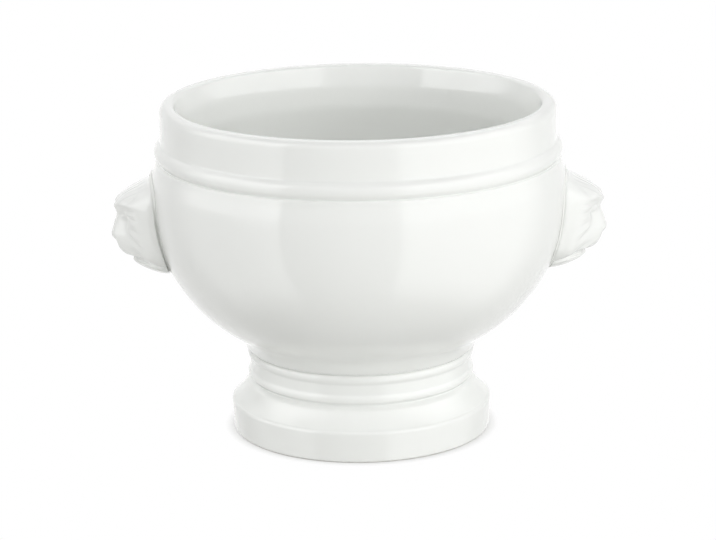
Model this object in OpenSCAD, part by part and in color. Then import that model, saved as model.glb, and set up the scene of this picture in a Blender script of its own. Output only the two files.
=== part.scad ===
// Footed porcelain soup bowl: a deep bowl with an upright collar, a turned pedestal foot and a lion-head
// lug on each side, put together from separately formed pieces with thin beds of slip.
// Millimetres. Z is the bowl's axis and points up, the foot stands on Z = 0, the heads face -X and +X.

/* [Bowl] */
// Outer radius of the upright collar below the lip
collar_r = 60.4; // [56:0.1:65]
// Height of the collar, from the middle of the bead to the rim
collar_h = 14; // [8:0.1:24]
// Wall of the collar
collar_wall = 4.4; // [3:0.1:6]
// Rounding of the lip's outer edge
lip_outer_round = 2.4; // [0.8:0.1:3]
// Rounding of the lip's inner edge
lip_inner_round = 1.2; // [0.5:0.1:1.6]
// How far the bead stands out from the collar
bead_proud = 2; // [1:0.1:3]
// Radius of the bead's round section
bead_round = 2.4; // [1.5:0.1:3.2]
// How far the belly swells beyond the collar
belly_swell = 3.3; // [2:0.1:8]
// Radius of the belly's curve from rim to foot
belly_arc = 49; // [45:0.1:53]
// Height of the belly's widest line above the seat on the foot
belly_drop = 47.6; // [43:0.1:49]
// Height of the bead's middle above the belly's widest line
belly_rise = 14.9; // [10:0.1:22]
// Wall at the belly's widest line
belly_wall = 5; // [3.5:0.1:7]
// Radius of the curve inside the bowl, from wall to floor
inside_arc = 43; // [39:0.1:44]
// Rounding inside, where the belly turns into the collar
inside_round = 11.5; // [4:0.5:20]
// Rounding outside, where the belly runs out to the foot
flare_round = 12; // [5:0.5:16]

/* [Foot] */
// Height of the foot, from the table to its seat under the bowl
foot_h = 25.7; // [24:0.1:34]
// Radius of the foot where it stands on the table
base_r = 39.8; // [38:0.1:46]
// Radius at the plinth's upper edge
plinth_r = 40.3; // [39:0.1:47]
// Height of the plinth
plinth_h = 10; // [6:0.1:12]
// Rounding of the plinth's upper edge
plinth_round = 1.2; // [0.6:0.1:2]
// Rounding of the standing ring's edges
ring_round = 0.8; // [0.4:0.1:1.2]
// Width of the standing ring
ring_w = 4.8; // [3.5:0.1:6]
// Height of the hollow shoulder above the plinth
shoulder_h = 5.8; // [5:0.1:7]
// Radius of the shoulder's hollow curve
shoulder_arc = 30; // [12:1:60]
// Radius of the plain neck
neck_r = 34.4; // [32:0.1:36]
// Wall of the neck
neck_wall = 5.2; // [4:0.1:7]
// How far the two turned rings stand out from the neck
rings_proud = 0.7; // [0.4:0.1:1.4]
// Radius of the rings' round section
rings_round = 1.7; // [1.2:0.1:2]
// Height of the lower ring above the shoulder
lower_ring_up = 2.2; // [1.5:0.1:2.4]
// Depth of the upper ring's middle below the foot's seat
upper_ring_down = 1.5; // [1.2:0.1:2.2]

/* [Lion heads] */
// Width of a head across the mask
head_w = 34.8; // [28:0.1:40]
// Height of a head above its widest line
head_rise = 11.7; // [10:0.1:13]
// Depth of a head below its widest line
head_drop = 18; // [14:0.1:21]
// Depth of a head's widest line below the belly's widest line
head_down = 5.3; // [0:0.1:8]
// Reach of the plain mask in front of its bed
mask_reach = 7.7; // [6:0.1:11]
// Lift of the forehead over the mask
forehead_lift = 1.2; // [0.4:0.1:3]
// Lift of the brows
brow_lift = 1.1; // [0.5:0.1:3]
// Lift of the snout
snout_lift = 4.6; // [2:0.1:6]
// Lift of the whisker pads on the snout
pad_lift = 1.2; // [0.4:0.1:2.5]
// Lift of the wedge of the nose on the snout
nose_lift = 0.6; // [0.2:0.1:1.5]
// Lift of the cheekbones
cheek_lift = 0.6; // [0.2:0.1:2]
// Lift of the chin
chin_lift = 1.7; // [0:0.1:2.5]
// Depth of the eye hollows
eye_depth = 1.3; // [0.5:0.1:3]
// Depth of the crease of the mouth
mouth_depth = 1.1; // [0.3:0.1:2]
// Lift of the ears
ear_lift = 2; // [0.5:0.1:3]
// Lift of the locks of the mane
mane_lift = 0.3; // [0:0.1:1.2]
// Number of locks round the face
mane_locks = 22; // [12:2:28]

/* [Slip beds] */
// Thickness of the slip between foot and bowl
foot_slip = 0.6; // [0.3:0.1:1.2]
// Thickness of the slip behind a head
head_slip = 0.8; // [0.3:0.1:1.5]
// How far a bed stays behind the edges that it joins
slip_setback = 0.7; // [0.3:0.1:1.5]

/* [Hidden] */
$fn = 96;
porcelain = [0.93, 0.94, 0.93];
fired_slip = [0.86, 0.87, 0.85];

// Heights along the axis
seat_z = foot_h + foot_slip;
belly_z = seat_z + belly_drop;
bead_z = belly_z + belly_rise;
belly_top_z = bead_z - 0.85 * bead_round;
rim_z = bead_z + collar_h;

// The belly's curve and the flare that takes it down to the foot
belly_r = collar_r + belly_swell;
belly_c = belly_r - belly_arc;
flare_r = neck_r + rings_proud / 2;
flare_c = [flare_r + flare_round,
           belly_z - sqrt(pow(belly_arc + flare_round, 2) - pow(flare_r + flare_round - belly_c, 2))];
flare_end = [belly_c, belly_z] + (flare_c - [belly_c, belly_z]) * belly_arc / (belly_arc + flare_round);

// The curve inside, and its rounding into the collar, lapped by a hair so that the two cross cleanly
collar_in = collar_r - collar_wall;
inside_c = belly_r - belly_wall - inside_arc;
floor_z = belly_z - inside_arc;
inside_round_r = collar_in + inside_round;
inside_round_c = [inside_round_r,
                  belly_z + sqrt(pow(inside_arc + inside_round, 2) - pow(inside_round_r - inside_c, 2))];
inside_end = [inside_c, belly_z]
           + (inside_round_c - [inside_c, belly_z]) * inside_arc / (inside_arc + inside_round);
inside_lap = 0.01;
lip_out = min(lip_outer_round, 0.6 * collar_wall);
lip_in = min(lip_inner_round, 0.35 * collar_wall);

// The shoulder's hollow curve runs from the plinth's edge to the neck
shoulder_z = plinth_h + shoulder_h;
shoulder_low = [plinth_r - plinth_round / 2, plinth_h - 0.2 * plinth_round];
shoulder_high = [neck_r + rings_proud / 2, shoulder_z];
shoulder_chord = shoulder_high - shoulder_low;
shoulder_out = [shoulder_chord[1], -shoulder_chord[0]] / norm(shoulder_chord);
shoulder_c = (shoulder_low + shoulder_high) / 2
           + shoulder_out * sqrt(pow(shoulder_arc, 2) - pow(norm(shoulder_chord) / 2, 2));

// Places of the turned rings, and the foot's hollow
rings_c = neck_r + rings_proud - rings_round;
lower_ring_z = shoulder_z + lower_ring_up;
upper_ring_z = foot_h - upper_ring_down;
bore_r = neck_r - neck_wall;
well_r = base_r - ring_w;

// A head is lofted through level sections. Places on the mask are shares of its half width and of its
// height above or below the widest line
half_w = head_w / 2;
head_z = belly_z - head_down;
head_gap = 0.05;
crease_soft = 0.35;
crown_power = 3.2;
cheek_power = 2.5;
chin_power = 3.1;
crown_start = 0.33;
chin_start = 0.72;
middle_soft = 8;
sections = 52;
front_steps = 46;
back_steps = 18;
over = 1;

// Rounds the outer corner of a profile, with the corner's centre at the origin
module corner_cut(r) {
    difference() {
        square(r + over);
        circle(r);
    }
}

module bowl_outside() {
    intersection() {
        translate([belly_c, belly_z]) circle(belly_arc);
        translate([0, seat_z]) square([belly_r + over, belly_top_z - seat_z]);
    }
    difference() {
        translate([0, seat_z]) square([flare_end[0], flare_end[1] - seat_z]);
        translate(flare_c) circle(flare_round);
    }
    translate([collar_r + bead_proud - bead_round, bead_z]) circle(bead_round);
    difference() {
        translate([0, belly_top_z - over]) square([collar_r, rim_z - belly_top_z + over]);
        translate([collar_r - lip_out, rim_z - lip_out]) corner_cut(lip_out);
    }
}

module bowl_inside() {
    intersection() {
        translate([inside_c, belly_z]) circle(inside_arc);
        translate([0, floor_z - over]) square([belly_r, inside_end[1] - floor_z + 2 * over]);
    }
    translate([0, floor_z]) square([inside_c, inside_arc]);
    difference() {
        translate([0, belly_z]) square([inside_end[0], inside_round_c[1] - belly_z]);
        translate(inside_round_c) circle(inside_round + inside_lap);
    }
    translate([0, inside_round_c[1] - over]) square([collar_in, rim_z - inside_round_c[1] + 2 * over]);
    translate([collar_in + lip_in, rim_z - lip_in]) mirror([1, 0]) corner_cut(lip_in);
}

module bowl() {
    color(porcelain)
    rotate_extrude()
    difference() {
        bowl_outside();
        bowl_inside();
    }
}

module foot_outside() {
    difference() {
        polygon([[0, 0], [base_r, 0], [base_r, ring_round],
                 [plinth_r, plinth_h - plinth_round], [0, plinth_h - plinth_round]]);
        translate([base_r - ring_round, ring_round]) mirror([0, 1]) corner_cut(ring_round);
    }
    translate([0, plinth_h / 2]) square([plinth_r - plinth_round, plinth_h / 2]);
    translate([plinth_r - plinth_round, plinth_h - plinth_round]) circle(plinth_round);
    difference() {
        translate([0, plinth_h / 2]) square([shoulder_low[0], shoulder_z - plinth_h / 2]);
        translate(shoulder_c) circle(shoulder_arc);
    }
    square([neck_r, foot_h]);
    intersection() {
        for (z = [lower_ring_z, upper_ring_z])
            translate([rings_c, z]) circle(rings_round);
        square([plinth_r, foot_h]);
    }
}

module foot_hollow() {
    translate([0, -over]) square([bore_r, foot_h + 2 * over]);
    difference() {
        translate([0, -over]) square([well_r, shoulder_z + over]);
        translate(shoulder_c) circle(shoulder_arc + neck_wall);
    }
    translate([well_r + ring_round, ring_round]) rotate(180) corner_cut(ring_round);
}

module pedestal_foot() {
    color(porcelain)
    rotate_extrude()
    difference() {
        foot_outside();
        foot_hollow();
    }
}

module foot_slip_joint() {
    color(fired_slip)
    rotate_extrude()
    translate([bore_r + slip_setback, foot_h])
    square([neck_r - bore_r - 2 * slip_setback, foot_slip]);
}

function ease(x) = let (c = min(1, max(0, x))) c * c * (3 - 2 * c);
function swell(x, place, spread) = exp(-pow((x - place) / spread, 2));
function power(q) = q > 0 ? crown_power : chin_power;
function height_share(v) = v > 0 ? v / head_rise : v / head_drop;
function half_width(q) = half_w * pow(1 - pow(abs(q), power(q)), 1 / power(q));

// Radius of the belly's surface at height v above the head's widest line, moved out by a bed's thickness
function bed_r(v, bed) = belly_c + sqrt(pow(belly_arc + bed, 2) - pow(v - head_down, 2));

// How the mask falls off: an easy slope over the crown, a round chin and round cheeks
function crown_fall(q) = 1 - ease((q - crown_start) / (1 - crown_start));
function chin_fall(q) = sqrt(1 - pow(max(0, -q - chin_start) / (1 - chin_start), 2));
function cheek_fall(s) = sqrt(1 - pow(abs(s), cheek_power));
function rim_share(p, q) = pow(pow(abs(p), power(q)) + pow(abs(q), power(q)), 1 / power(q));

// Lines drawn on the mask: brows and eyes slant up and out, the mouth sinks at the cheeks' back edge
function brow_line(p) = 0.2 + 0.42 * p;
function eye_line(p) = 0.03 + 0.25 * (p - 0.4);
function mouth_line(p) = -0.68 - 0.14 * ease((p - 0.62) / 0.2);

// Sculpted forms, alike on both sides of the mask's middle: p across, q up.
// The forehead is a broad dome with a furrow down its middle
function forehead(p, q) =
    forehead_lift * (ease((0.64 - p) / 0.42) * ease((q + 0.28) / 0.38) * ease((0.95 - q) / 0.5)
                     - 0.3 * swell(p, 0, 0.06) * swell(q, 0.45, 0.22));
function brows(p, q) =
    brow_lift * swell(q, brow_line(p), 0.12) * ease((p - 0.02) / 0.2) * ease((0.74 - p) / 0.3);

// The snout has a low root between the eyes, widens to the whisker pads and runs out into the cheeks
function snout(p, q) =
    let (wide = 0.46 + 0.3 * ease((0.1 - q) / 0.6),
         root = 0.2 * ease((0.5 - q) / 0.4) * ease((q + 0.45) / 0.3),
         rise = ease((0.05 - q) / 0.355) * ease((q + 0.95) / 0.69))
    snout_lift * (rise + root - rise * root) * ease((wide - p) / 0.46);
function whisker_pads(p, q) =
    pad_lift * (swell(p, 0.26, 0.18) * swell(q, -0.585, 0.13)
                - 0.9 * swell(p, 0, 0.045) * ease((-0.47 - q) / 0.05) * ease((q + 0.76) / 0.05));
function nose(p, q) =
    let (wide = 0.29 - 0.85 * max(0, -q - 0.37),
         wedge = ease((wide - p) / 0.1) * ease((-0.24 - q) / 0.11) * ease((q + 0.53) / 0.09),
         nostril = swell(p, 0.14 + 0.5 * (q + 0.42), 0.055) * swell(q, -0.42, 0.045))
    nose_lift * (wedge - 0.9 * nostril);
function eyes(p, q) =
    eye_depth * (0.85 * swell(p, 0.4, 0.105) * swell(q, eye_line(p), 0.068)
                 - swell(p, 0.4, 0.15) * swell(q, 0.02, 0.13));
function cheekbones(p, q) = cheek_lift * swell(p, 0.6, 0.16) * swell(q, -0.2, 0.16);
function mouth(p, q) = -mouth_depth * swell(q, mouth_line(p), 0.045) * ease((0.86 - p) / 0.2);
function chin(p, q) = chin_lift * swell(p, 0, 0.34) * swell(q, -0.84, 0.11);

// Cupped ears at the corners, and locks of mane, long and short in turn, that fan out round the face
function ear_hump(p, q) = swell(p, 0.6, 0.17) * swell(q, 0.6, 0.19);
function ears(p, q) = ear_lift * (ear_hump(p, q) - 0.8 * swell(p, 0.61, 0.09) * swell(q, 0.57, 0.11));
function mane(p, q) =
    let (rim = rim_share(p, q), turn = atan2(q + 0.05, p),
         start = 0.56 + 0.05 * cos(0.5 * mane_locks * turn), curl = 230 * (rim - 0.7))
    mane_lift * cos(mane_locks * turn + curl) * (1 - 0.8 * ear_hump(p, q))
    * ease((rim - start) / 0.2) * ease((0.93 - rim) / 0.2) * ease((q + 0.82) / 0.12);

// Height share of a form on the mask, without a kink at the widest line
function form_share(v) = v / (head_drop + (head_rise - head_drop) * ease(v / middle_soft + 0.5));

// Reach of a head in front of its bed, u across and v above its widest line
function reach(u, v) =
    let (q = form_share(v), p = norm([u, crease_soft]) / half_w,
         s = min(1, abs(u) / half_width(height_share(v))))
    let (face = forehead(p, q) + brows(p, q) + snout(p, q) + whisker_pads(p, q) + nose(p, q) + eyes(p, q)
              + cheekbones(p, q) + mouth(p, q) + chin(p, q))
    (mask_reach + face + ears(p, q) + mane(p, q)) * crown_fall(q) * chin_fall(q) * cheek_fall(s);

function back_x(u, v) = sqrt(pow(bed_r(v, head_slip + head_gap), 2) - u * u);
function front_point(u, v) = [back_x(u, v) + reach(u, v), u, head_z + v];
function back_point(u, v) = [back_x(u, v), u, head_z + v];

// One level section: over the front from one cheek to the other, and home along the bed
function section(v) =
    let (w = half_width(height_share(v)))
    [for (i = [0:front_steps]) front_point(-w * cos(180 * i / front_steps), v),
     for (i = [1:back_steps - 1]) back_point(w * cos(180 * i / back_steps), v)];

// Heights of the sections, closer together towards the chin and the crown
function section_height(k) =
    let (t = k / sections, even = 2 * t - 1, close = -cos(180 * t), q = (even + close) / 2)
    q > 0 ? q * head_rise : q * head_drop;

module lion_head() {
    ring = front_steps + back_steps;
    last = (sections - 1) * ring;
    points = [for (k = [1:sections - 1]) each section(section_height(k)),
              back_point(0, -head_drop),
              back_point(0, head_rise)];
    sides = [for (k = [0:sections - 3]) for (i = [0:ring - 1])
             let (a = k * ring + i, b = k * ring + (i + 1) % ring)
             each [[a, a + ring, b], [b, a + ring, b + ring]]];
    low_end = [for (i = [0:ring - 1]) [last, i, (i + 1) % ring]];
    high_end = [for (i = [0:ring - 1]) [last + 1, last - ring + (i + 1) % ring, last - ring + i]];
    color(porcelain)
    polyhedron(points, concat(sides, low_end, high_end));
}

// Outline of a bed behind a head, set back from the head's edge
function bed_outline(steps) =
    [for (i = [0:steps - 1])
     let (turn = 360 * i / steps, q = sin(turn), p = pow(1 - pow(abs(q), power(q)), 1 / power(q)))
     [sign(cos(turn)) * p * (half_w - slip_setback),
      q * ((q > 0 ? head_rise : head_drop) - slip_setback)]];

module head_slip_joint() {
    color(fired_slip)
    intersection() {
        rotate_extrude()
        translate([belly_c, belly_z])
        difference() {
            circle(belly_arc + head_slip);
            circle(belly_arc);
            translate([-2 * belly_arc, -2 * belly_arc]) square([2.5 * belly_arc, 4 * belly_arc]);
        }
        translate([0, 0, head_z])
        rotate([90, 0, 90])
        linear_extrude(belly_r + 2 * over)
        polygon(bed_outline(40));
    }
}

module right_lion_head() {
    lion_head();
}

module left_lion_head() {
    rotate(180) lion_head();
}

module right_head_slip_joint() {
    head_slip_joint();
}

module left_head_slip_joint() {
    rotate(180) head_slip_joint();
}

bowl();
pedestal_foot();
foot_slip_joint();
left_lion_head();
right_lion_head();
left_head_slip_joint();
right_head_slip_joint();
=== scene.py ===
import math

import bpy
import numpy as np
from mathutils import Matrix, Vector


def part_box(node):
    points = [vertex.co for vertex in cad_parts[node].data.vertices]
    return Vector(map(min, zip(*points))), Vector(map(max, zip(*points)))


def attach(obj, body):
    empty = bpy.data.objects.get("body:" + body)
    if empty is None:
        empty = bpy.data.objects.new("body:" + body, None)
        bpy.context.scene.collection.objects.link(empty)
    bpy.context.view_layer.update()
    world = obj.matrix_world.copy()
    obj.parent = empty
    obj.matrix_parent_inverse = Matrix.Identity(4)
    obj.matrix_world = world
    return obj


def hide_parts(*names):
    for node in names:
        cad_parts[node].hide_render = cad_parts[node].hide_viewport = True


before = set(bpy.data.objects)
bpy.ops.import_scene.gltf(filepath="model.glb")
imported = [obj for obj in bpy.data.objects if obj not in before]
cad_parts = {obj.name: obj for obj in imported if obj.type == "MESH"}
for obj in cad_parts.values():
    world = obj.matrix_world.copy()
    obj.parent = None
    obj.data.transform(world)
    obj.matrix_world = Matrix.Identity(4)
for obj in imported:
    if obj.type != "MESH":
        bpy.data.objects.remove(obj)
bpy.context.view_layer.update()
mm = 0.001
print("frame loaded:", sorted(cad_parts))


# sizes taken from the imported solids, in millimetres
def nodeBox(name):
    low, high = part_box(name)
    return np.array(low) / mm, np.array(high) / mm


bowlLow, bowlHigh = nodeBox("bowl")
footLow, footHigh = nodeBox("pedestal_foot")
headLow, headHigh = nodeBox("right_lion_head")
seatZ = bowlLow[2]
rimZ = bowlHigh[2]
footH = footHigh[2]


# a socket that takes part in sums, so that shader maths reads as a formula
class Wire:
    def __init__(self, nodes, socket):
        self.nodes = nodes
        self.socket = socket

    def calc(self, operation, first, second):
        return self.nodes.add("ShaderNodeMath", {"operation": operation}, {0: first, 1: second})

    def __add__(self, other):
        return self.calc("ADD", self, other)

    def __radd__(self, other):
        return self.calc("ADD", other, self)

    def __sub__(self, other):
        return self.calc("SUBTRACT", self, other)

    def __rsub__(self, other):
        return self.calc("SUBTRACT", other, self)

    def __mul__(self, other):
        return self.calc("MULTIPLY", self, other)

    def __rmul__(self, other):
        return self.calc("MULTIPLY", other, self)


# the nodes of one material or of the world
class Nodes:
    def __init__(self, owner):
        owner.use_nodes = True
        self.owner = owner
        self.tree = owner.node_tree
        self.tree.nodes.clear()

    def add(self, kind, settings, sockets, out=0):
        made = self.tree.nodes.new(kind)
        for key, value in settings.items():
            setattr(made, key, value)
        for key, value in sockets.items():
            if isinstance(value, Wire):
                self.tree.links.new(value.socket, made.inputs[key])
            else:
                made.inputs[key].default_value = value
        return Wire(self, made.outputs[out]) if made.outputs else None

    def noise(self, place, scale, detail):
        return self.add("ShaderNodeTexNoise", {"noise_dimensions": "3D"},
                        {"Vector": place, "Scale": scale, "Detail": detail, "Roughness": 0.5})

    def fade(self, value, span):
        return self.add("ShaderNodeMapRange", {"interpolation_type": "SMOOTHSTEP"},
                        {"Value": value, "From Min": span[0], "From Max": span[1]})

    def window(self, value, start, end):
        return self.fade(value, start) * (1 - self.fade(value, end))

    def blend(self, share, first, second):
        return self.add("ShaderNodeMix", {"data_type": "RGBA"},
                        {"Factor": share, 6: first, 7: second}, out=2)


def ease(x):
    c = np.clip(x, 0, 1)
    return c * c * (3 - 2 * c)


def swell(x, place, spread):
    return np.exp(-((x - place) / spread) ** 2)


# white porcelain under a clear glaze: the tint gathers where the glaze pools, the standing ring is bare
glaze = {
    "white": (0.84, 0.85, 0.83, 1),
    "pooled": (0.73, 0.75, 0.73, 1),
    "bare": (0.76, 0.74, 0.69, 1),
    "poolShare": 0.3,
    "cloudShare": 0.16,
    "cloudLow": 0.06,
    "cloudScale": 38.0,
    "waveScale": 30.0,
    "peelScale": 260.0,
    "peelShare": 0.03,
    "bump": 0.35,
    "bumpHeight": 0.4 * mm,
    "gloss": 0.07,
    "glossVary": 0.05,
    "ior": 1.5,
    "bareRough": 0.7,
    "bareHeight": 0.25 * mm,
}


def makeGlaze(name):
    g = glaze
    s = Nodes(bpy.data.materials.new(name))
    place = s.add("ShaderNodeTexCoord", {}, {}, out=3)
    pool = s.add("ShaderNodeAttribute", {"attribute_name": "pool"}, {}, out=2)
    cloud = s.noise(place, g["cloudScale"], 3.0)
    wave = s.noise(place, g["waveScale"], 1.0)
    peel = s.noise(place, g["peelScale"], 2.0)
    upright = s.add("ShaderNodeSeparateXYZ", {}, {"Vector": place}, out=2)
    bare = s.add("ShaderNodeMath", {"operation": "LESS_THAN"}, {0: upright, 1: g["bareHeight"]})
    tint = s.add("ShaderNodeMath", {"operation": "ADD", "use_clamp": True},
                 {0: g["poolShare"] * pool, 1: g["cloudShare"] * cloud - g["cloudLow"]})
    colour = s.blend(bare, s.blend(tint, g["white"], g["pooled"]), g["bare"])
    rough = g["gloss"] + g["glossVary"] * cloud + g["bareRough"] * bare
    relief = wave + g["peelShare"] * peel
    bump = s.add("ShaderNodeBump", {},
                 {"Height": relief, "Strength": g["bump"], "Distance": g["bumpHeight"]})
    shader = s.add("ShaderNodeBsdfPrincipled", {},
                   {"Base Color": colour, "Roughness": rough, "IOR": g["ior"], "Normal": bump})
    s.add("ShaderNodeOutputMaterial", {}, {"Surface": shader})
    return s.owner


# the slip in the joints has only a thin run of glaze: duller and a little darker
slip = {
    "pale": (0.82, 0.83, 0.81, 1),
    "deep": (0.75, 0.76, 0.73, 1),
    "cloudScale": 220.0,
    "grainScale": 1400.0,
    "grainShare": 0.3,
    "bump": 0.5,
    "bumpHeight": 0.2 * mm,
    "rough": 0.35,
    "roughVary": 0.2,
}


def makeSlip(name):
    s = Nodes(bpy.data.materials.new(name))
    place = s.add("ShaderNodeTexCoord", {}, {}, out=3)
    cloud = s.noise(place, slip["cloudScale"], 3.0)
    grain = s.noise(place, slip["grainScale"], 2.0)
    relief = cloud + slip["grainShare"] * grain
    bump = s.add("ShaderNodeBump", {},
                 {"Height": relief, "Strength": slip["bump"], "Distance": slip["bumpHeight"]})
    shader = s.add("ShaderNodeBsdfPrincipled", {},
                   {"Base Color": s.blend(cloud, slip["pale"], slip["deep"]),
                    "Roughness": slip["rough"] + slip["roughVary"] * grain, "Normal": bump})
    s.add("ShaderNodeOutputMaterial", {}, {"Surface": shader})
    return s.owner


glazeMaterial = makeGlaze("whiteGlaze")
slipMaterial = makeSlip("firedSlip")
print("glaze and slip mixed")


def meshPiece(name, verts, faces, pools, material, node, slotName):
    mesh = bpy.data.meshes.new(name)
    mesh.from_pydata(verts, [], faces)
    mesh.validate()
    mesh.update()
    mesh.polygons.foreach_set("use_smooth", [True] * len(mesh.polygons))
    mask = mesh.attributes.new("pool", "FLOAT", "POINT")
    mask.data.foreach_set("value", np.array(pools, np.float32))
    piece = bpy.data.objects.new(name, mesh)
    bpy.context.scene.collection.objects.link(piece)
    piece.data.materials.append(material)
    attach(piece, "root")
    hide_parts(node)
    print("made:", name, len(mesh.polygons), "faces")


# round stretches of a turned profile, angles in degrees from the outward direction
def arc(centre, radius, start, end, step=3.0):
    n = max(2, int(abs(end - start) / step))
    turn = np.radians(np.linspace(start, end, n + 1))
    return [(centre[0] + radius * math.cos(a), centre[1] + radius * math.sin(a)) for a in turn]


def angleTo(centre, point):
    return math.degrees(math.atan2(point[1] - centre[1], point[0] - centre[0]))


# from the direction of one point to that of another, both counted from 0 to 360
def arcBetween(centre, radius, first, last, step):
    return arc(centre, radius, angleTo(centre, first) % 360, angleTo(centre, last) % 360, step)


# glaze rounds every edge and fills every corner a little: resample the profile and smooth it
def soften(points, spread, step=0.12):
    p = np.array(points, float)
    d = np.hypot(*np.diff(p, axis=0).T)
    p = p[np.concatenate([[True], d > 1e-6])]
    run = np.concatenate([[0], np.cumsum(np.hypot(*np.diff(p, axis=0).T))])
    n = int(run[-1] / step)
    at = np.linspace(0, run[-1], n + 1)
    fine = np.stack([np.interp(at, run, p[:, 0]), np.interp(at, run, p[:, 1])], 1)
    reach = int(3 * spread / step)
    weight = np.exp(-0.5 * (np.arange(-reach, reach + 1) * step / spread) ** 2)
    weight /= weight.sum()
    # carry each end on as a straight line so that the ends stay put
    before = 2 * fine[0] - fine[reach:0:-1]
    after = 2 * fine[-1] - fine[-2:-reach - 2:-1]
    long = np.concatenate([before, fine, after])
    return np.stack([np.convolve(long[:, k], weight, "valid") for k in range(2)], 1)


# keep the points that a smooth curve needs, and note how hollow the profile is at each, from 0 where it is
# straight or bulges to 1 where it bends inwards by fullHollow radians in a millimetre
def thin(points, bend=2.5, longest=2.0, fullHollow=1.2):
    way = np.diff(points, axis=0)
    angle = np.unwrap(np.arctan2(way[:, 1], way[:, 0]))
    length = np.hypot(way[:, 0], way[:, 1])
    keep = [0]
    turned = 0.0
    gone = 0.0
    for k in range(1, len(points) - 1):
        turned += abs(math.degrees(angle[k] - angle[k - 1]))
        gone += length[k - 1]
        if turned >= bend or gone >= longest:
            keep.append(k)
            turned = 0.0
            gone = 0.0
    keep.append(len(points) - 1)
    turnRate = np.gradient(np.concatenate([[angle[0]], 0.5 * (angle[1:] + angle[:-1]), [angle[-1]]]))
    turnRate /= np.concatenate([[length[0]], 0.5 * (length[1:] + length[:-1]), [length[-1]]])
    return points[keep], np.clip(-turnRate[keep] / fullHollow, 0, 1)


# waves in a wall turned by hand, from 0 to 1 round the axis and up
def waviness(a, z):
    return 0.5 * (1 + math.sin(3 * a + 0.09 * z) * math.cos(2 * a - 0.05 * z + 1.0))


# turn a profile about the axis; a profile that starts or ends on the axis is closed there with a fan
def lathe(points, hollow, segments, closed, wobble):
    verts = []
    pools = []
    faces = []
    rings = []
    for (r, z), h in zip(points, hollow):
        if r < 1e-4:
            rings.append([len(verts)])
            verts.append((0, 0, z * mm))
            pools.append(0.0)
            continue
        ring = []
        for k in range(segments):
            a = 2 * math.pi * k / segments
            wavy = r - wobble * waviness(a, z)
            ring.append(len(verts))
            verts.append((wavy * math.cos(a) * mm, wavy * math.sin(a) * mm, z * mm))
            pools.append(h)
        rings.append(ring)
    if closed:
        rings.append(rings[0])
    for low, high in zip(rings, rings[1:]):
        for k in range(segments):
            n = (k + 1) % segments
            if len(low) == 1:
                faces.append((low[0], high[n], high[k]))
            elif len(high) == 1:
                faces.append((low[k], low[n], high[0]))
            else:
                faces.append((low[k], low[n], high[n], high[k]))
    return verts, faces, pools


# bowl: belly, bead and collar outside, one smooth hollow inside
bowl = {
    "collarR": 60.4,
    "collarWall": 4.4,
    "lipOuter": 2.4,
    "lipInner": 1.2,
    "beadZ": rimZ - 14.5,
    "beadProud": 2.0,
    "beadRound": 3.0,
    "beadTuck": 0.8,
    "bellyArc": 49.0,
    "bellyZ": seatZ + 47.6,
    "bellyWall": 5.0,
    "insideArc": 43.0,
    "insideRound": 11.5,
    "flareR": 34.75,
    "flareRound": 12.0,
    "softness": 0.28,
    "beadSoftness": 0.6,
    "beadSpread": 4.5,
    "cove": 0.5,
    "coveDown": 4.0,
    "coveWide": 2.6,
    "lean": 1.7,
    "leanTall": 7.0,
    "leanEnd": 45.0,
    "leanSoft": 12,
    "segments": 224,
    "wobble": 0.10,
}
bellyR = bowlHigh[0]
bellyC = (bellyR - bowl["bellyArc"], bowl["bellyZ"])


# a broad soft cove leads from the bead to the belly
def coveDepth(z):
    return bowl["cove"] * swell(z, bowl["beadZ"] - bowl["coveDown"], bowl["coveWide"])


def bowlProfile(b):
    gap = b["flareR"] + b["flareRound"] - bellyC[0]
    flareC = (b["flareR"] + b["flareRound"],
              bellyC[1] - math.sqrt((b["bellyArc"] + b["flareRound"]) ** 2 - gap ** 2))
    collarIn = b["collarR"] - b["collarWall"]
    insideC = (bellyR - b["bellyWall"] - b["insideArc"], bellyC[1])
    roundR = collarIn + b["insideRound"]
    bend = b["insideArc"] + b["insideRound"]
    roundC = (roundR, bellyC[1] + math.sqrt(bend ** 2 - (roundR - insideC[0]) ** 2))
    beadC = (b["collarR"] + b["beadProud"] - b["beadRound"], b["beadZ"])
    bellyTopZ = b["beadZ"] - b["beadTuck"] * b["beadRound"]
    bellyTop = (bellyC[0] + math.sqrt(b["bellyArc"] ** 2 - (bellyTopZ - bellyC[1]) ** 2), bellyTopZ)
    beadStart = -math.degrees(math.asin(b["beadTuck"]))
    beadEnd = math.degrees(math.acos((b["collarR"] - beadC[0]) / b["beadRound"]))
    seatTurn = 180 - math.degrees(math.asin((seatZ - flareC[1]) / b["flareRound"]))
    path = [(0, seatZ)]
    path += arc(flareC, b["flareRound"], seatTurn, angleTo(flareC, bellyC))
    path += arc(bellyC, b["bellyArc"], angleTo(bellyC, flareC), angleTo(bellyC, bellyTop), 1.0)
    path += arc(beadC, b["beadRound"], beadStart, beadEnd, 6.0)
    path += arc((b["collarR"] - b["lipOuter"], rimZ - b["lipOuter"]), b["lipOuter"], 0, 90, 6.0)
    path += arc((collarIn + b["lipInner"], rimZ - b["lipInner"]), b["lipInner"], 90, 180, 6.0)
    path += arc(roundC, b["insideRound"], 180, angleTo(roundC, insideC) % 360, 3.0)
    path += arc(insideC, b["insideArc"], angleTo(insideC, roundC), -90, 1.5)
    path += [(0, insideC[1] - b["insideArc"])]
    return path


outline = bowlProfile(bowl)
firm = soften(outline, bowl["softness"])
mild = soften(outline, bowl["beadSoftness"])
along = np.arange(len(firm))
top = np.argmax(firm[:, 1])
# outside, the bead runs softly into collar and belly, the lip stays firmer
share = (along < top) * swell(firm[:, 1], bowl["beadZ"], bowl["beadSpread"])
outline = firm + share[:, None] * (mild - firm)
outline[:, 0] -= (along < top) * coveDepth(outline[:, 1])
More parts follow.
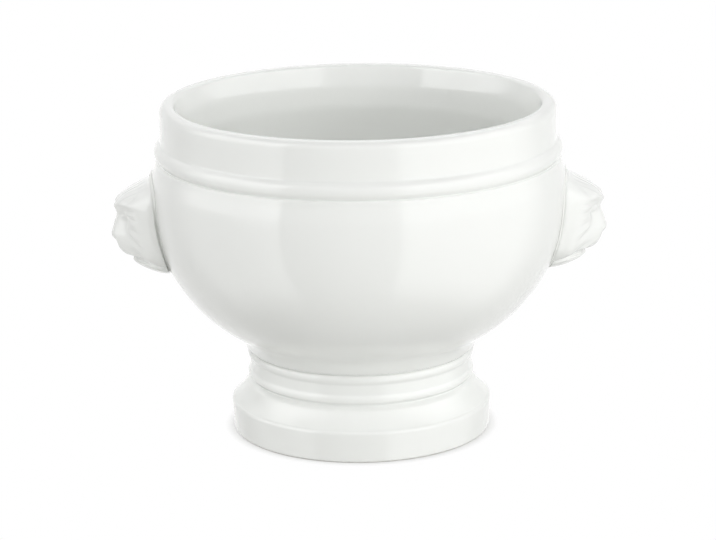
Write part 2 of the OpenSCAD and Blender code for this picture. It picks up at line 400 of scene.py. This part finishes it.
# inside, the wall leans back towards the lip
lean = np.interp(rimZ - outline[:, 1], [0, bowl["leanTall"], bowl["leanEnd"]], [0, bowl["lean"], 0])
even = swell(np.arange(-2 * bowl["leanSoft"], 2 * bowl["leanSoft"] + 1), 0, bowl["leanSoft"])
outline[:, 0] -= (along > top) * np.convolve(lean, even / even.sum(), "same")
profile, pooled = thin(outline)
meshPiece("soupBowl", *lathe(profile, pooled, bowl["segments"], False, bowl["wobble"]),
          glazeMaterial, "bowl", "white_glaze")


# foot: plinth, hollow shoulder, two rings, hollow underneath with a bare standing ring
foot = {
    "baseR": 39.8,
    "plinthR": footHigh[0],
    "plinthH": 10.0,
    "plinthRound": 1.2,
    "ringRound": 0.55,
    "ringW": 4.8,
    "shoulderH": 5.8,
    "shoulderArc": 30.0,
    "neckR": 34.4,
    "neckWall": 5.2,
    "ringsProud": 0.7,
    "ringsRound": 1.7,
    "lowerRingUp": 2.2,
    "upperRingDown": 1.5,
    "softness": 0.32,
    "groove": 0.9,
    "grooveWide": 0.7,
    "grooveUp": 0.1,
    "segments": 192,
    "wobble": 0.08,
}


def footProfile(f):
    boreR = f["neckR"] - f["neckWall"]
    wellR = f["baseR"] - f["ringW"]
    shoulderZ = f["plinthH"] + f["shoulderH"]
    low = np.array([f["plinthR"] - f["plinthRound"] / 2, f["plinthH"] - 0.2 * f["plinthRound"]])
    high = np.array([f["neckR"] + f["ringsProud"] / 2, shoulderZ])
    chord = high - low
    size = np.hypot(*chord)
    shoulderC = (low + high) / 2 + np.array([chord[1], -chord[0]]) / size * math.sqrt(
        f["shoulderArc"] ** 2 - (size / 2) ** 2)
    ringC = f["neckR"] + f["ringsProud"] - f["ringsRound"]
    lowerC = (ringC, shoulderZ + f["lowerRingUp"])
    upperC = (ringC, footH - f["upperRingDown"])
    meet = math.degrees(math.acos((f["neckR"] - ringC) / f["ringsRound"]))
    topTurn = math.degrees(math.asin(f["upperRingDown"] / f["ringsRound"]))
    rollC = (f["plinthR"] - f["plinthRound"], f["plinthH"] - f["plinthRound"])
    hollowArc = f["shoulderArc"] + f["neckWall"]
    hollowTop = (boreR, shoulderC[1] - math.sqrt(hollowArc ** 2 - (shoulderC[0] - boreR) ** 2))
    hollowLow = (wellR, shoulderC[1] - math.sqrt(hollowArc ** 2 - (shoulderC[0] - wellR) ** 2))
    path = arc((f["baseR"] - f["ringRound"], f["ringRound"]), f["ringRound"], -90, 0, 10.0)
    path += arc(rollC, f["plinthRound"], 0, 70, 8.0)
    path += arcBetween(shoulderC, f["shoulderArc"], low, high, 2.0)
    path += arc(lowerC, f["ringsRound"], -meet, meet, 6.0)
    path += arc(upperC, f["ringsRound"], -meet, topTurn, 6.0)
    path += [(boreR, footH)]
    path += arcBetween(shoulderC, hollowArc, hollowTop, hollowLow, 3.0)
    path += arc((wellR + f["ringRound"], f["ringRound"]), f["ringRound"], 180, 270, 10.0)
    middle = (f["baseR"] - f["ringW"] / 2, 0.0)
    return [middle] + path + [middle]


outline = soften(footProfile(foot), foot["softness"])
# a turned groove parts the lower ring from the shoulder
outside = np.arange(len(outline)) < np.argmax(outline[:, 1])
grooveZ = foot["plinthH"] + foot["shoulderH"] + foot["grooveUp"]
outline[:, 0] -= outside * foot["groove"] * swell(outline[:, 1], grooveZ, foot["grooveWide"])
profile, pooled = thin(outline)
meshPiece("pedestalFoot", *lathe(profile[:-1], pooled[:-1], foot["segments"], True, foot["wobble"]),
          glazeMaterial, "pedestal_foot", "white_glaze")


# lion heads: level sections lofted from chin to crown, sculpted by the forms below
head = {
    "down": 5.3,
    "bed": 0.85,
    "mask": 7.7,
    "forehead": 1.5,
    "brow": 1.1,
    "snout": 4.6,
    "cleft": 1.08,
    "nose": 0.6,
    "nostril": 0.54,
    "eyeball": 1.105,
    "mouth": 1.1,
    # each bump or hollow: height, then place and spread across (p) and up (q)
    "bumps": {
        "furrow": (-0.45, (0.0, 0.06), (0.45, 0.22)),
        "whiskerPads": (1.2, (0.26, 0.18), (-0.585, 0.13)),
        "eyeHollows": (-1.3, (0.4, 0.15), (0.02, 0.13)),
        "cheeks": (0.6, (0.6, 0.16), (-0.2, 0.16)),
        "chin": (1.7, (0.0, 0.34), (-0.84, 0.11)),
        "ears": (2.0, (0.6, 0.17), (0.6, 0.19)),
        "earCups": (-1.6, (0.61, 0.09), (0.57, 0.11)),
    },
    "mane": 0.24,
    "strand": 0.05,
    "line": 0.8,
    "lineWidth": 0.06,
    "sunk": 0.45,
    "sunkWidth": 0.16,
    "locks": 22,
    "creaseSoft": 0.35,
    "heightBlend": 8.0,
    "crownPower": 3.2,
    "chinPower": 3.1,
    "flankPower": 2.5,
    "crownStart": 0.36,
    "chinStart": 0.72,
    "edgeLift": {"right": -0.45, "left": -0.2},
    "edgeSpan": 0.05333,
    "poolStep": 0.7,
    "poolFull": 0.3,
    "poolEdge": 0.1,
    "sections": 150,
    "frontSteps": 140,
    "backSteps": 30,
}
halfW = headHigh[1]
headZ = bellyC[1] - head["down"]
headRise = headHigh[2] - headZ
headDrop = headZ - headLow[2]


def power(q):
    return np.where(q > 0, head["crownPower"], head["chinPower"])


def rimShare(p, q):
    return (np.abs(p) ** power(q) + np.abs(q) ** power(q)) ** (1 / power(q))


def heightShare(v):
    return np.where(v > 0, v / headRise, v / headDrop)


def halfWidth(v):
    q = heightShare(v)
    return halfW * np.clip(1 - np.abs(q) ** power(q), 1e-9, None) ** (1 / power(q))


# p is the share of the half width, q the share of the height above or below the widest line
def mouthLine(p):
    return -0.74 - 0.08 * ease((p - 0.62) / 0.2)


def faceBump(p, q, height, across, up):
    return height * swell(p, *across) * swell(q, *up)


def faceForms(p, q):
    h = head
    forms = sum(faceBump(p, q, *shape) for shape in h["bumps"].values())
    # forehead: a broad dome, with brows slanting up from the nose
    forms += h["forehead"] * ease((0.64 - p) / 0.42) * ease((q + 0.28) / 0.38) * ease((0.95 - q) / 0.5)
    forms += h["brow"] * swell(q, 0.2 + 0.42 * p, 0.12) * ease((p - 0.02) / 0.2) * ease((0.74 - p) / 0.3)
    # snout: a low root between the eyes that widens to the whisker pads, parted by the cleft of the lip
    root = 0.2 * ease((0.5 - q) / 0.4) * ease((q + 0.45) / 0.3)
    rise = ease((0.05 - q) / 0.355) * ease((q + 0.95) / 0.69)
    wide = 0.46 + 0.3 * ease((0.1 - q) / 0.6)
    forms += h["snout"] * (rise + root - rise * root) * ease((wide - p) / 0.46)
    forms -= h["cleft"] * swell(p, 0, 0.045) * ease((-0.47 - q) / 0.05) * ease((q + 0.76) / 0.05)
    # nose: a wide wedge with two nostrils
    wide = 0.29 - 0.85 * np.clip(-q - 0.37, 0, None)
    forms += h["nose"] * ease((wide - p) / 0.1) * ease((-0.24 - q) / 0.11) * ease((q + 0.53) / 0.09)
    forms -= h["nostril"] * swell(p, 0.14 + 0.5 * (q + 0.42), 0.055) * swell(q, -0.42, 0.045)
    # slanted eyes, and the mouth
    forms += h["eyeball"] * swell(p, 0.4, 0.105) * swell(q, 0.03 + 0.25 * (p - 0.4), 0.068)
    forms -= h["mouth"] * swell(q, mouthLine(p), 0.045) * ease((0.86 - p) / 0.2)
    return forms + maneLocks(p, q)


# locks of mane round the face, long and short in turn, flatter behind the ears
def maneLocks(p, q):
    h = head
    rim = rimShare(p, q)
    turn = np.arctan2(q + 0.05, p)
    start = 0.56 + 0.05 * np.cos(0.5 * h["locks"] * turn)
    locks = h["mane"] * np.cos(h["locks"] * turn + 4.0 * (rim - 0.7))
    locks += h["strand"] * np.cos(3 * h["locks"] * turn + 9.0 * (rim - 0.7))
    fade = ease((rim - start) / 0.2) * ease((0.93 - rim) / 0.2) * ease((q + 0.82) / 0.12)
    return locks * fade * (1 - 0.8 * faceBump(p, q, 1, *h["bumps"]["ears"][1:]))


# height in shares, without a break where the rise above meets the drop below
def faceHeight(v):
    return v / (headDrop + (headRise - headDrop) * ease(v / head["heightBlend"] + 0.5))


# reach of a head in front of its bed, u across and v above its widest line
def headReach(u, v):
    q = faceHeight(v)
    p = np.hypot(u, head["creaseSoft"]) / halfW
    s = np.clip(np.abs(u) / halfWidth(v), 0, 1)
    crown = 1 - ease((q - head["crownStart"]) / (1 - head["crownStart"]))
    tuck = np.clip(-q - head["chinStart"], 0, None) / (1 - head["chinStart"])
    chin = np.sqrt(np.clip(1 - tuck ** 2, 0, 1))
    flank = np.sqrt(1 - s ** head["flankPower"])
    return np.maximum((head["mask"] + faceForms(p, q)) * crown * chin * flank, 0)


# glaze gathers where the face lies lower than its surroundings, but not at its edge
def headHollow(u, v):
    step = head["poolStep"]
    low = np.clip(v - step, -0.98 * headDrop, None)  # kept on the head
    high = np.clip(v + step, None, 0.98 * headRise)
    around = headReach(u - step, v) + headReach(u + step, v) + headReach(u, low) + headReach(u, high)
    inner = ease((1 - rimShare(u / halfW, heightShare(v))) / head["poolEdge"])
    return inner * np.clip((around / 4 - headReach(u, v)) / head["poolFull"], 0, 1)


# cut after pressing: the mouth runs on round the flank to the back edge, in a broad hollow
def fineCarving(u, v):
    q = faceHeight(v)
    p = np.abs(u) / halfW
    line = head["line"] * swell(q, mouthLine(p), head["lineWidth"]) * ease((0.84 - p) / 0.12)
    sunk = head["sunk"] * swell(q, mouthLine(p), head["sunkWidth"]) * ease((0.96 - p) / 0.2)
    return -line * ease((p - 0.12) / 0.2) - sunk * ease((p - 0.3) / 0.3)


# a place on the belly under a head, lifted off the clay
def bedX(u, v, lift):
    radius = bellyC[0] + np.sqrt((bowl["bellyArc"] + lift) ** 2 - (v - head["down"]) ** 2)
    return np.sqrt(radius ** 2 - u * u)


# the rolled edge of a head stands off its bed a little, more so on the left
def edgeRoll(u, v, side):
    away = np.maximum(1 - rimShare(u / halfW, heightShare(v)), 0)
    return head["bed"] + head["edgeLift"][side] * swell(away, 0, head["edgeSpan"])


def loftFaces(count, ring):
    faces = [(k * ring + i, k * ring + (i + 1) % ring, (k + 1) * ring + (i + 1) % ring, (k + 1) * ring + i)
             for k in range(count - 1) for i in range(ring)]
    low = count * ring
    top = (count - 1) * ring
    faces += [(low, (i + 1) % ring, i) for i in range(ring)]
    faces += [(low + 1, top + i, top + (i + 1) % ring) for i in range(ring)]
    return faces


def lionHead(side):
    h = head
    front = -np.cos(np.pi * np.arange(h["frontSteps"] + 1) / h["frontSteps"])
    back = np.cos(np.pi * np.arange(1, h["backSteps"]) / h["backSteps"])
    t = np.arange(1, h["sections"]) / h["sections"]
    rise = (2 * t - 1 - np.cos(np.pi * t)) / 2
    v = np.where(rise > 0, rise * headRise, rise * headDrop)[:, None]
    u = halfWidth(v) * front
    level = v + 0 * u
    face = np.stack([bedX(u, level, edgeRoll(u, level, side)) + headReach(u, level), u, level], 2)
    # the fine carving goes in along the normal, so that it shows on the flanks too
    normal = np.cross(np.gradient(face, axis=1), np.gradient(face, axis=0))
    normal /= np.linalg.norm(normal, axis=2, keepdims=True)
    face += normal * fineCarving(u, level)[:, :, None]
    face[:, :, 0] = np.minimum(face[:, :, 0], headHigh[0])
    hollow = headHollow(u, level)
    u = halfWidth(v) * back
    level = v + 0 * u
    rear = np.stack([bedX(u, level, edgeRoll(u, level, side)), u, level], 2)
    verts = np.concatenate([face, rear], 1).reshape(-1, 3)
    ends = [(float(bedX(0.0, z, h["bed"] + h["edgeLift"][side])), 0.0, z) for z in (-headDrop, headRise)]
    verts = np.concatenate([verts, ends]) + (0, 0, headZ)
    pools = np.concatenate([hollow, np.zeros(rear.shape[:2])], 1).ravel()
    faces = loftFaces(h["sections"] - 1, h["frontSteps"] + h["backSteps"])
    return verts, faces, np.concatenate([pools, [0, 0]])


# bed of slip behind a head: a hollow fillet from the belly to the head's edge, deepest under the chin,
# wiped fuller on the right than on the left
bed = {
    "room": 0.04,
    "sink": 0.06,
    # how far inside the head's outline the fillet starts on the belly and ends at the head
    "right": {"top": (-0.75, -0.25), "low": (-0.4, 0.15), "from": 0.0, "over": 0.9},
    "left": {"top": (-0.4, 0.0), "low": (0.15, 0.6), "from": 0.75, "over": 0.9},
    "hollow": 0.1,
    "steps": 160,
    "rings": 5,
    "edgeSteps": 8,
}


def slipBed(side):
    n = bed["steps"]
    turn = 2 * np.pi * np.arange(n) / n
    q = np.sin(turn)
    p = np.sign(np.cos(turn)) * np.clip(1 - np.abs(q) ** power(q), 0, 1) ** (1 / power(q))
    fill = bed[side]
    fall = ease((fill["from"] - q) / fill["over"])
    start, deep = (top + (low - top) * fall for top, low in zip(fill["top"], fill["low"]))
    verts = []
    # rings run from the belly's side over the hollow edge to the head's side
    shares = [(k + 1) / bed["rings"] for k in range(bed["rings"] - 1)]
    stations = [(share, 0.0) for share in shares]
    stations += [(1.0, k / bed["edgeSteps"]) for k in range(bed["edgeSteps"] + 1)]
    stations += [(share, 1.0) for share in reversed(shares)]
    for share, height in stations:
        inset = start + (deep - start) * height + (bed["hollow"] + 0.5 * deep) * math.sin(math.pi * height)
        u = share * p * (halfW - inset)
        v = share * np.where(q > 0, q * (headRise - inset), q * (headDrop - inset))
        sunk = (1 - height) * (bed["sink"] + coveDepth(headZ + v))
        lift = height * (edgeRoll(u, v, side) - bed["room"]) - sunk
        verts += [(x, y, headZ + z) for x, y, z in zip(bedX(u, v, lift), u, v)]
    for height in (0.0, 1.0):
        lift = height * (head["bed"] - bed["room"]) - (1 - height) * (bed["sink"] + coveDepth(headZ))
        verts.append((float(bedX(0.0, 0.0, lift)), 0.0, headZ))
    return verts, loftFaces(len(stations), n), np.zeros(len(verts))


# the left head and its bed are turned half way round the bowl
for side, turn in (("right", 0.0), ("left", math.pi)):
    spin = Matrix.Rotation(turn, 3, "Z")
    verts, faces, pools = lionHead(side)
    meshPiece(side + "LionHead", [spin @ Vector(p) * mm for p in verts], faces, pools,
              glazeMaterial, side + "_lion_head", "white_glaze")
    verts, faces, pools = slipBed(side)
    meshPiece(side + "SlipBed", [spin @ Vector(p) * mm for p in verts], faces, pools,
              slipMaterial, side + "_head_slip_joint", "fired_slip")


# ring of slip between bowl and foot, wiped flush so that the ring of the foot runs on into the bowl
ring = {
    "footR": 34.75,
    "bowlR": 35.5,
    "inner": 29.9,
    "hollow": 0.05,
    "steps": 6,
    "segments": 192,
}


def ringProfile(r):
    share = np.linspace(0, 1, r["steps"] + 1)
    tall = seatZ - footH
    hollow = r["hollow"] * np.sin(np.pi * share)
    outer = r["footR"] + share * (r["bowlR"] - r["footR"]) - hollow
    return list(zip(outer, footH + share * tall)) + list(zip(r["inner"] + hollow, seatZ - share * tall))


profile = ringProfile(ring)
meshPiece("footSlipRing", *lathe(profile, np.zeros(len(profile)), ring["segments"], True, 0.0),
          glazeMaterial, "foot_slip_joint", "fired_slip")


# camera of the photograph, worked out from the circles of rim, bead and foot
photoCamera = {
    "distance": 0.8399,
    "elevation": 18.5372,
    "pitch": 15.3058,
    "pan": -0.0417,
    "roll": -0.7521,
    "azimuth": -0.88,
    "focal": 2672.4,
    "imageWidth": 716,
    "sensor": 36.0,
}


def makeCamera(c):
    data = bpy.data.cameras.new("photoCamera")
    data.sensor_width = c["sensor"]
    data.lens = c["focal"] / c["imageWidth"] * c["sensor"]
    cam = bpy.data.objects.new("photoCamera", data)
    bpy.context.scene.collection.objects.link(cam)
    e = math.radians(c["elevation"])
    cam.matrix_world = (Matrix.Rotation(math.radians(c["azimuth"]), 4, "Z")
                        @ Matrix.Translation((0, -c["distance"] * math.cos(e), c["distance"] * math.sin(e)))
                        @ Matrix.Rotation(-math.radians(c["pan"]), 4, "Z")
                        @ Matrix.Rotation(math.radians(90 - c["pitch"]), 4, "X")
                        @ Matrix.Rotation(math.radians(c["roll"]), 4, "Z"))
    bpy.context.scene.camera = cam


makeCamera(photoCamera)
print("camera placed")


# studio: white floor, a ring of softboxes that light the clay, and a surround that only the gloss mirrors
studio = {
    "floorSize": 6.0,
    "floorWhite": (0.712, 0.713, 0.697, 1),
    "contact": 0.0032,
    "distance": 1.0,
    # azimuth from the camera's side towards +X, then elevation, both in degrees from the middle of the bowl
    "softboxes": [
        {"azimuth": (15, 45), "elevation": (2, 25), "bright": 4.0},
        {"azimuth": (45, 75), "elevation": (2, 25), "bright": 2.35},
        {"azimuth": (-45, 15), "elevation": (2, 25), "bright": 1.55},
        {"azimuth": (-75, -45), "elevation": (2, 25), "bright": 0.9},
        {"azimuth": (15, 75), "elevation": (25, 50), "bright": 1.35},
        {"azimuth": (75, 135), "elevation": (25, 50), "bright": 1.3},
        {"azimuth": (135, 180), "elevation": (25, 50), "bright": 1.6},
        {"azimuth": (180, 225), "elevation": (25, 50), "bright": 1.5},
        {"azimuth": (-135, -75), "elevation": (25, 50), "bright": 2.6},
        {"azimuth": (-75, -45), "elevation": (25, 50), "bright": 1.1},
        {"azimuth": (-14, 14), "elevation": (76, 104), "bright": 1.15},
    ],
    # what the glaze mirrors: a pale room, darker towards the table under the bowl, and bright panels in it;
    # each fades in and out over the spans of azimuth (turn) and elevation (rise) given here
    "room": 0.7,
    "table": 0.4,
    "tableFade": (-75, -35),
    "panels": [
        {"turn": ((20, 24), (95, 125)), "rise": ((-64, -40), (40, 60)), "bright": 1.4},
        {"turn": ((20, 24), (95, 125)), "rise": ((-8, 4), (40, 60)), "bright": 0.5},
        {"turn": ((-125, -95), (-46, -43)), "rise": ((-64, -40), (40, 60)), "bright": 1.3},
        {"turn": ((-125, -95), (-46, -43)), "rise": ((-8, 4), (40, 60)), "bright": 1.4},
        {"turn": ((95, 125), (181, 182)), "rise": ((-64, -40), (60, 80)), "bright": 0.4},
        {"turn": ((-182, -181), (-125, -95)), "rise": ((-64, -40), (60, 80)), "bright": 0.4},
        {"turn": ((-183, -182), (182, 183)), "rise": ((18, 30), (50, 65)), "bright": 0.6},
    ],
}


# the camera sees a floor glowing white, darkened only where the foot touches it: a contact shadow painted
# from ambient occlusion, which lets the lamp-lit floor show through the glow
def makeFloor(st):
    s = Nodes(bpy.data.materials.new("floorWhite"))
    seen = s.add("ShaderNodeLightPath", {}, {}, out=0)
    # painted contact shadow: the less open the floor is near the foot, the more its lit, shaded surface
    # replaces the white glow
    free = s.add("ShaderNodeAmbientOcclusion", {"samples": 16}, {"Distance": st["contact"]}, out=1)
    white = s.add("ShaderNodeBsdfDiffuse", {}, {"Color": st["floorWhite"]})
    glow = s.add("ShaderNodeEmission", {}, {"Color": (1, 1, 1, 1), "Strength": 1.0})
    shader = s.add("ShaderNodeMixShader", {}, {0: free * seen, 1: white, 2: glow})
    s.add("ShaderNodeOutputMaterial", {}, {"Surface": shader})
    half = st["floorSize"] / 2
    mesh = bpy.data.meshes.new("studioFloor")
    corners = [(-half, -half, 0), (half, -half, 0), (half, half, 0), (-half, half, 0)]
    mesh.from_pydata(corners, [], [(0, 1, 2, 3)])
    floor = bpy.data.objects.new("studioFloor", mesh)
    floor.location.z = footLow[2] * mm
    floor.data.materials.append(s.owner)
    floor.visible_glossy = False
    bpy.context.scene.collection.objects.link(floor)


# the camera sees white; the gloss sees the room and its panels, which light nothing else
def makeSurround(st):
    bpy.context.scene.world = bpy.data.worlds.new("studioWorld")
    s = Nodes(bpy.context.scene.world)
    seen = s.add("ShaderNodeLightPath", {}, {}, out=0)
    gloss = s.add("ShaderNodeLightPath", {}, {}, out=3)
    way = s.add("ShaderNodeTexCoord", {}, {})
    across, along, up = (s.add("ShaderNodeSeparateXYZ", {}, {"Vector": way}, out=k) for k in range(3))
    turn = math.degrees(1) * s.add("ShaderNodeMath", {"operation": "ARCTAN2"}, {0: across, 1: 0.0 - along})
    rise = math.degrees(1) * s.add("ShaderNodeMath", {"operation": "ARCSINE"}, {0: up})
    mirrored = st["table"] + (st["room"] - st["table"]) * s.fade(rise, st["tableFade"])
    for panel in st["panels"]:
        inPanel = s.window(turn, *panel["turn"]) * s.window(rise, *panel["rise"])
        mirrored = mirrored + panel["bright"] * inPanel
    back = s.add("ShaderNodeBackground", {}, {"Color": (1, 1, 1, 1), "Strength": seen + mirrored * gloss})
    s.add("ShaderNodeOutputWorld", {}, {"Surface": back})


def makeSoftbox(k, box, aim, distance):
    spans = (math.radians(box[way][1] - box[way][0]) for way in ("azimuth", "elevation"))
    wide, tall = (2 * distance * math.tan(span / 2) for span in spans)
    data = bpy.data.lights.new("softbox%d" % k, "AREA")
    data.shape = "RECTANGLE"
    data.size = wide
    data.size_y = tall
    data.energy = box["bright"] * math.pi * wide * tall
    lamp = bpy.data.objects.new("softbox%d" % k, data)
    a, e = (math.radians(sum(box[way]) / 2) for way in ("azimuth", "elevation"))
    away = Vector((math.sin(a) * math.cos(e), -math.cos(a) * math.cos(e), math.sin(e)))
    lamp.location = aim + away * distance
    lamp.rotation_euler = away.to_track_quat("Z", "Y").to_euler()
    lamp.visible_camera = False
    lamp.visible_glossy = False
    bpy.context.scene.collection.objects.link(lamp)


makeFloor(studio)
makeSurround(studio)
for k, box in enumerate(studio["softboxes"]):
    makeSoftbox(k, box, Vector((0, 0, 0.5 * rimZ * mm)), studio["distance"])
bpy.context.scene.view_settings.view_transform = "Standard"
print("studio lit")
